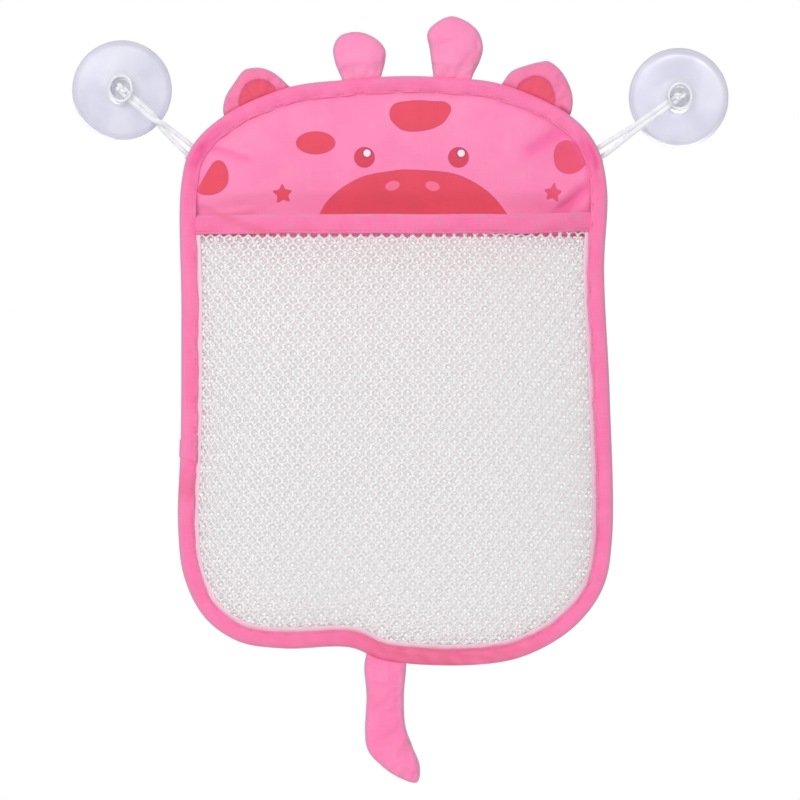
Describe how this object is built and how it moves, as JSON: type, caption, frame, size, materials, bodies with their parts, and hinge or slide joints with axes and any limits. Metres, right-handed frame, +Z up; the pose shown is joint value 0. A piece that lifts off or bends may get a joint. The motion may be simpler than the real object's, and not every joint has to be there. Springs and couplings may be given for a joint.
{
  "type": "bath toy organizer",
  "caption": "Hanging net bag for bath toys with an animal head, stuffed ears, horns and tail, on corded suction cups.",
  "frame": {"origin": "on the wall plane, midway between the centres of the two suction cups", "axes": "+Z up, +Y into the wall, +X to the right as seen from the front; the bag's front faces -Y"},
  "size_m": [0.3948, 0.0524, 0.4592],
  "materials": {
    "printed_fabric": "printed woven polyester",
    "pink_fabric": "woven polyester",
    "pink_tape": "folded binding tape",
    "white_net": "knitted hexagonal net",
    "wadding": "fibre filling",
    "white_cord": "braided cord",
    "clear_vinyl": "clear, glossy"
  },
  "bodies": {
    "bag": {"edge_binding": "pink_tape", "head_front_panel": "printed_fabric", "head_lining": "pink_fabric", "back_net": "white_net", "pocket_net": "white_net", "pocket_band": "pink_tape", "left_bar_tack": "white_cord", "right_bar_tack": "white_cord"},
    "left_loop": {"left_hanging_cord": "white_cord"},
    "left_cup": {"left_suction_cup": "clear_vinyl"},
    "right_loop": {"right_hanging_cord": "white_cord"},
    "right_cup": {"right_suction_cup": "clear_vinyl"},
    "left_ear": {"left_ear_front": "printed_fabric", "left_ear_back": "pink_fabric", "left_ear_wadding": "wadding"},
    "right_ear": {"right_ear_front": "printed_fabric", "right_ear_back": "pink_fabric", "right_ear_wadding": "wadding"},
    "left_horn": {"left_horn_front": "pink_fabric", "left_horn_back": "pink_fabric", "left_horn_wadding": "wadding"},
    "right_horn": {"right_horn_front": "pink_fabric", "right_horn_back": "pink_fabric", "right_horn_wadding": "wadding"},
    "tail": {"tail_front": "pink_fabric", "tail_back": "pink_fabric", "tail_wadding": "wadding"}
  },
  "joints": [
    {"name": "left_loop_swing", "type": "hinge", "parent": "bag", "child": "left_loop", "pos_m": [-0.12508, -0.0033, -0.03522], "axis": [0, -1, 0], "range_deg": [-38, 86]},
    {"name": "right_loop_swing", "type": "hinge", "parent": "bag", "child": "right_loop", "pos_m": [0.11783, -0.0033, -0.0368], "axis": [0, 1, 0], "range_deg": [-42, 84]},
    {"name": "left_cup_turn", "type": "hinge", "parent": "left_loop", "child": "left_cup", "pos_m": [-0.1674, -0.0124, 0.0023], "axis": [0.7482, 0, -0.6634], "range_deg": [-60, 60]},
    {"name": "right_cup_turn", "type": "hinge", "parent": "right_loop", "child": "right_cup", "pos_m": [0.1674, -0.0124, -0.0023], "axis": [-0.8208, 0, -0.5712], "range_deg": [-60, 60]},
    {"name": "left_ear_fold", "type": "hinge", "parent": "bag", "child": "left_ear", "pos_m": [-0.08729, -0.0119, -0.00307], "axis": [0.9043, 0, 0.4268], "range_deg": [0, 80], "stiffness_Nm_per_rad": 0.005},
    {"name": "right_ear_fold", "type": "hinge", "parent": "bag", "child": "right_ear", "pos_m": [0.08266, -0.0119, -0.00221], "axis": [0.9051, 0, -0.4253], "range_deg": [0, 80], "stiffness_Nm_per_rad": 0.005},
    {"name": "left_horn_fold", "type": "hinge", "parent": "bag", "child": "left_horn", "pos_m": [-0.0233, -0.0119, 0.00943], "axis": [0.9973, 0, 0.0734], "range_deg": [0, 75], "stiffness_Nm_per_rad": 0.005},
    {"name": "right_horn_fold", "type": "hinge", "parent": "bag", "child": "right_horn", "pos_m": [0.03146, -0.0119, 0.00992], "axis": [0.9956, 0, -0.094], "range_deg": [0, 75], "stiffness_Nm_per_rad": 0.005},
    {"name": "tail_flap", "type": "hinge", "parent": "bag", "child": "tail", "pos_m": [-0.00926, -0.0119, -0.34086], "axis": [-0.9804, 0, 0.1969], "range_deg": [0, 110]}
  ]
}
